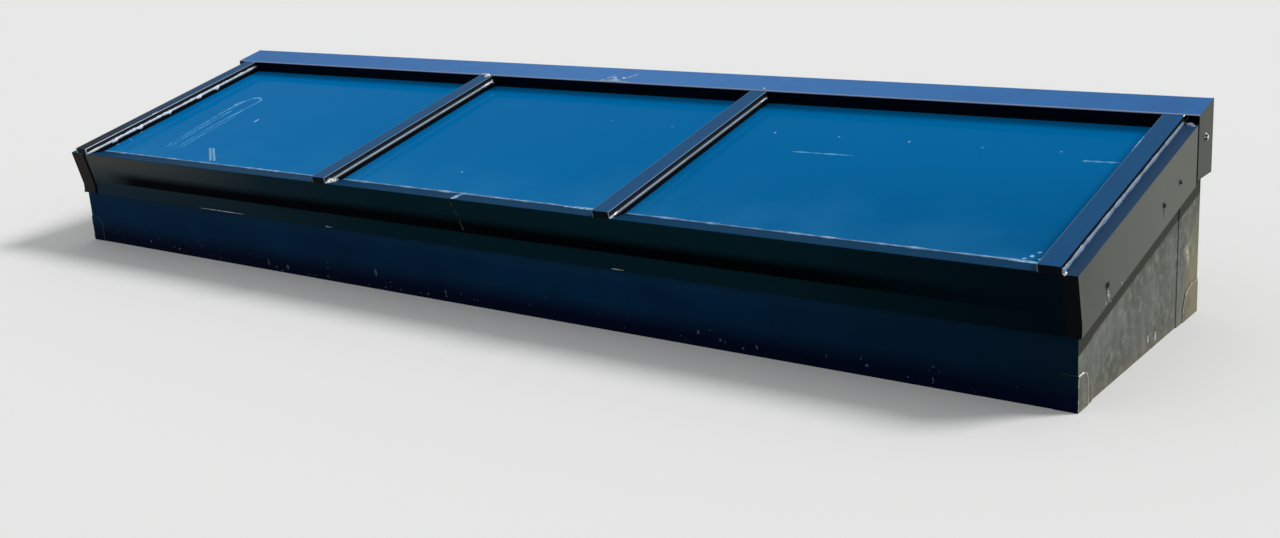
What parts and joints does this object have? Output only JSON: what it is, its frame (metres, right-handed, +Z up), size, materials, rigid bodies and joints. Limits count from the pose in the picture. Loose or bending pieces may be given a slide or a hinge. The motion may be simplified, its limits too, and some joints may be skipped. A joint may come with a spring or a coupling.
{
  "type": "roof skylight",
  "caption": "Low single-slope skylight with glazed bays between capped aluminium bars, folded metal flashings and a tapered timber curb wrapped in roofing membrane.",
  "frame": {"origin": "middle of the unit in plan, on the roof surface under the curb", "axes": "+X along the eave to the right, +Y up the slope from eave to ridge, +Z up"},
  "size_m": [4.013, 0.9726, 0.6003],
  "materials": {
    "lumber": "sawn",
    "membrane": "matte, dusty",
    "dark_paint": "satin",
    "bare_aluminium": "mill",
    "outer_glass": "glossy, blue tint",
    "inner_glass": "clear",
    "black_rubber": "matte",
    "hard_plastic": "matte",
    "sealant": "matte",
    "screws": "zinc plated"
  },
  "bodies": {
    "root": {"curb_board_front": "lumber", "curb_board_back": "lumber", "curb_board_left": "lumber", "curb_board_right": "lumber", "nailer_front": "lumber", "nailer_back": "lumber", "nailer_left": "lumber", "nailer_right": "lumber", "membrane_front": "membrane", "membrane_back": "membrane", "membrane_left": "membrane", "membrane_right": "membrane", "corner_patches": "membrane", "cap_left_end": "dark_paint", "cap_inner_left": "dark_paint", "cap_inner_right": "dark_paint", "cap_right_end": "dark_paint", "cap_end_left_end": "dark_paint", "cap_end_inner_left": "dark_paint", "cap_end_inner_right": "dark_paint", "cap_end_right_end": "dark_paint", "fascia_left": "dark_paint", "fascia_right": "dark_paint", "side_flashing_left": "dark_paint", "side_flashing_right": "dark_paint", "ridge_cap_left": "dark_paint", "ridge_cap_right": "dark_paint", "sill_rail": "bare_aluminium", "ridge_rail": "bare_aluminium", "rafter_left_end": "bare_aluminium", "rafter_inner_left": "bare_aluminium", "rafter_inner_right": "bare_aluminium", "rafter_right_end": "bare_aluminium", "rafter_spigots": "bare_aluminium", "pressure_plate_left_end": "bare_aluminium", "pressure_plate_inner_left": "bare_aluminium", "pressure_plate_inner_right": "bare_aluminium", "pressure_plate_right_end": "bare_aluminium", "fascia_splice": "bare_aluminium", "ridge_splice": "bare_aluminium", "spacer_left": "bare_aluminium", "spacer_middle": "bare_aluminium", "spacer_right": "bare_aluminium", "outer_lite_left": "outer_glass", "outer_lite_middle": "outer_glass", "outer_lite_right": "outer_glass", "inner_lite_left": "inner_glass", "inner_lite_middle": "inner_glass", "inner_lite_right": "inner_glass", "inner_gaskets": "black_rubber", "outer_gaskets": "black_rubber", "setting_blocks": "black_rubber", "ridge_tapes": "black_rubber", "edge_fillers": "hard_plastic", "side_packer_left": "hard_plastic", "side_packer_right": "hard_plastic", "sill_beads": "sealant", "anchor_screws": "screws", "plate_screws": "screws", "flashing_screws": "screws"}
  },
  "joints": []
}
